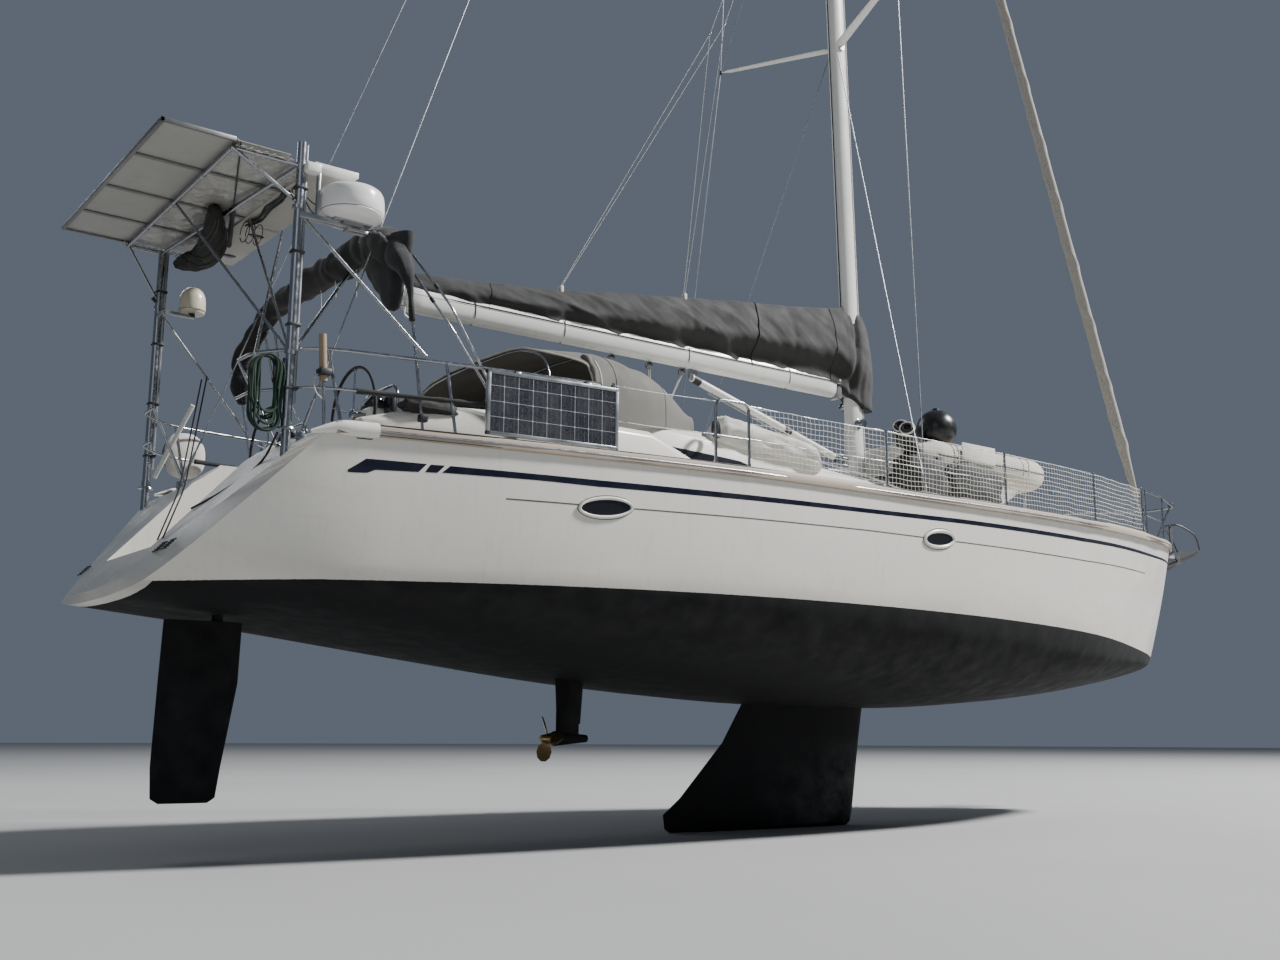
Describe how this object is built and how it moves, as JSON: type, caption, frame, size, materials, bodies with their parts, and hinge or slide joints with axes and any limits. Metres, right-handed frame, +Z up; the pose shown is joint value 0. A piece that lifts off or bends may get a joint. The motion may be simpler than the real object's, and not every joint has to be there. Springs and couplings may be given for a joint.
{
  "type": "cruising sailing yacht",
  "caption": "Fin-keeled cruising sloop with twin wheels, stern gantry and solar array, sprayhood, furled headsail, mainsail under a boom cover and a tender on the foredeck.",
  "frame": {"origin": "on the centreline at the waterline, midway between the stem head and the transom's foot", "axes": "+X towards the bow, +Y to port, +Z up along the mast"},
  "size_m": [16.24, 4.5778, 22.3408],
  "materials": {
    "gelcoat": "polished, a little weathered",
    "antifouling": "matte bottom paint",
    "keel_paint": "matte bottom paint over cast iron",
    "steel": "polished stainless",
    "aluminium": "satin",
    "spar": "white enamel",
    "canvas_grey": "woven acrylic canvas",
    "canvas_taupe": "woven acrylic canvas",
    "canvas_black": "woven acrylic canvas",
    "sail_roll": "sun strip, rolled",
    "solar_cell": "cells under glass",
    "dome_white": "satin moulding",
    "dark_acrylic": "smoked, glossy",
    "teak": "weathered",
    "rubbing_strake": "weathered teak",
    "bronze": "dull",
    "rubber": "matte",
    "tender_fabric": "coated fabric",
    "hose_green": "semi-gloss hose",
    "buoy_white": "coated fabric"
  },
  "bodies": {
    "yacht": {"hull": "gelcoat", "gunwale_stbd": "rubbing_strake", "gunwale_port": "rubbing_strake", "keel": "keel_paint", "sail_drive_leg": "keel_paint", "coachroof": "gelcoat", "washboard": "dark_acrylic", "fore_hatch_coaming": "aluminium", "coaming_stbd": "gelcoat", "coaming_port": "gelcoat", "primary_winch_stbd": "steel", "primary_winch_port": "steel", "roof_winch_stbd": "steel", "roof_winch_port": "steel", "helm_pedestal_stbd": "gelcoat", "helm_pedestal_port": "gelcoat", "cockpit_table": "teak", "mast": "spar", "cover_collar": "canvas_grey", "stem_fitting": "steel", "shrouds_stbd": "steel", "shrouds_port": "steel", "backstay_stbd": "steel", "backstay_port": "steel", "guard_rail_fore_stbd": "steel", "guard_rail_aft_stbd": "steel", "guard_rail_fore_port": "steel", "guard_rail_aft_port": "steel", "pulpit": "steel", "pushpit_stbd": "steel", "pushpit_port": "steel", "gantry": "aluminium", "solar_array": "solar_cell", "side_solar_panel": "solar_cell", "radar_dome": "dome_white", "small_dome": "dome_white", "bimini_hoop": "steel", "rolled_bimini": "canvas_black", "sprayhood": "canvas_taupe", "bow_roller": "steel", "anchor": "steel", "windlass": "steel", "tender": "tender_fabric", "ball_fender": "rubber", "lifebuoy_bag": "buoy_white", "hose_hank": "hose_green"},
    "boom_assembly": {"boom": "spar", "vang": "spar", "sail_cover": "canvas_grey"},
    "rudder": {"rudder": "antifouling"},
    "wheel_stbd": {"helm_wheel_stbd": "steel"},
    "wheel_port": {"helm_wheel_port": "steel"},
    "propeller": {"propeller": "bronze"},
    "furler": {"furled_headsail": "sail_roll", "furling_drum": "aluminium"},
    "companionway_hatch": {"companionway_hatch": "dark_acrylic"},
    "saloon_hatch": {"saloon_hatch_lid": "dark_acrylic"},
    "fore_hatch": {"fore_hatch_lid": "dark_acrylic"}
  },
  "joints": [
    {"name": "boom_swing", "type": "hinge", "parent": "yacht", "child": "boom_assembly", "pos_m": [1.03, 0, 3.17], "axis": [0, 0, 1], "range_deg": [-55, 55]},
    {"name": "rudder_turn", "type": "hinge", "parent": "yacht", "child": "rudder", "pos_m": [-6.43, 0, 0], "axis": [0, 0, 1], "range_deg": [-35, 35]},
    {"name": "wheel_stbd_turn", "type": "hinge", "parent": "yacht", "child": "wheel_stbd", "pos_m": [-5.72, -0.9, 1.68], "axis": [1, 0, 0], "range_deg": [-450, 450]},
    {"name": "wheel_port_turn", "type": "hinge", "parent": "yacht", "child": "wheel_port", "pos_m": [-5.72, 0.9, 1.68], "axis": [1, 0, 0], "range_deg": [-450, 450]},
    {"name": "propeller_spin", "type": "hinge", "parent": "yacht", "child": "propeller", "pos_m": [-3.11, 0, -0.9604], "axis": [1, 0, 0], "continuous": true},
    {"name": "furler_turn", "type": "hinge", "parent": "yacht", "child": "furler", "pos_m": [7.385, 0, 1.89], "axis": [-0.3537, 0, 0.9354], "continuous": true},
    {"name": "companionway_slide", "type": "slide", "parent": "yacht", "child": "companionway_hatch", "axis": [1, 0, 0], "range_m": [0, 0.68]},
    {"name": "saloon_hatch_hinge", "type": "hinge", "parent": "yacht", "child": "saloon_hatch", "pos_m": [-0.7, 0, 2.1004], "axis": [0, 1, 0], "range_deg": [0, 90]},
    {"name": "fore_hatch_hinge", "type": "hinge", "parent": "yacht", "child": "fore_hatch", "pos_m": [6.22, 0, 1.7454], "axis": [0, 1, 0], "range_deg": [0, 90]}
  ],
  "couplings": [
    {"joint": "wheel_stbd_turn", "follows": "rudder_turn", "ratio": 12.857},
    {"joint": "wheel_port_turn", "follows": "rudder_turn", "ratio": 12.857}
  ]
}
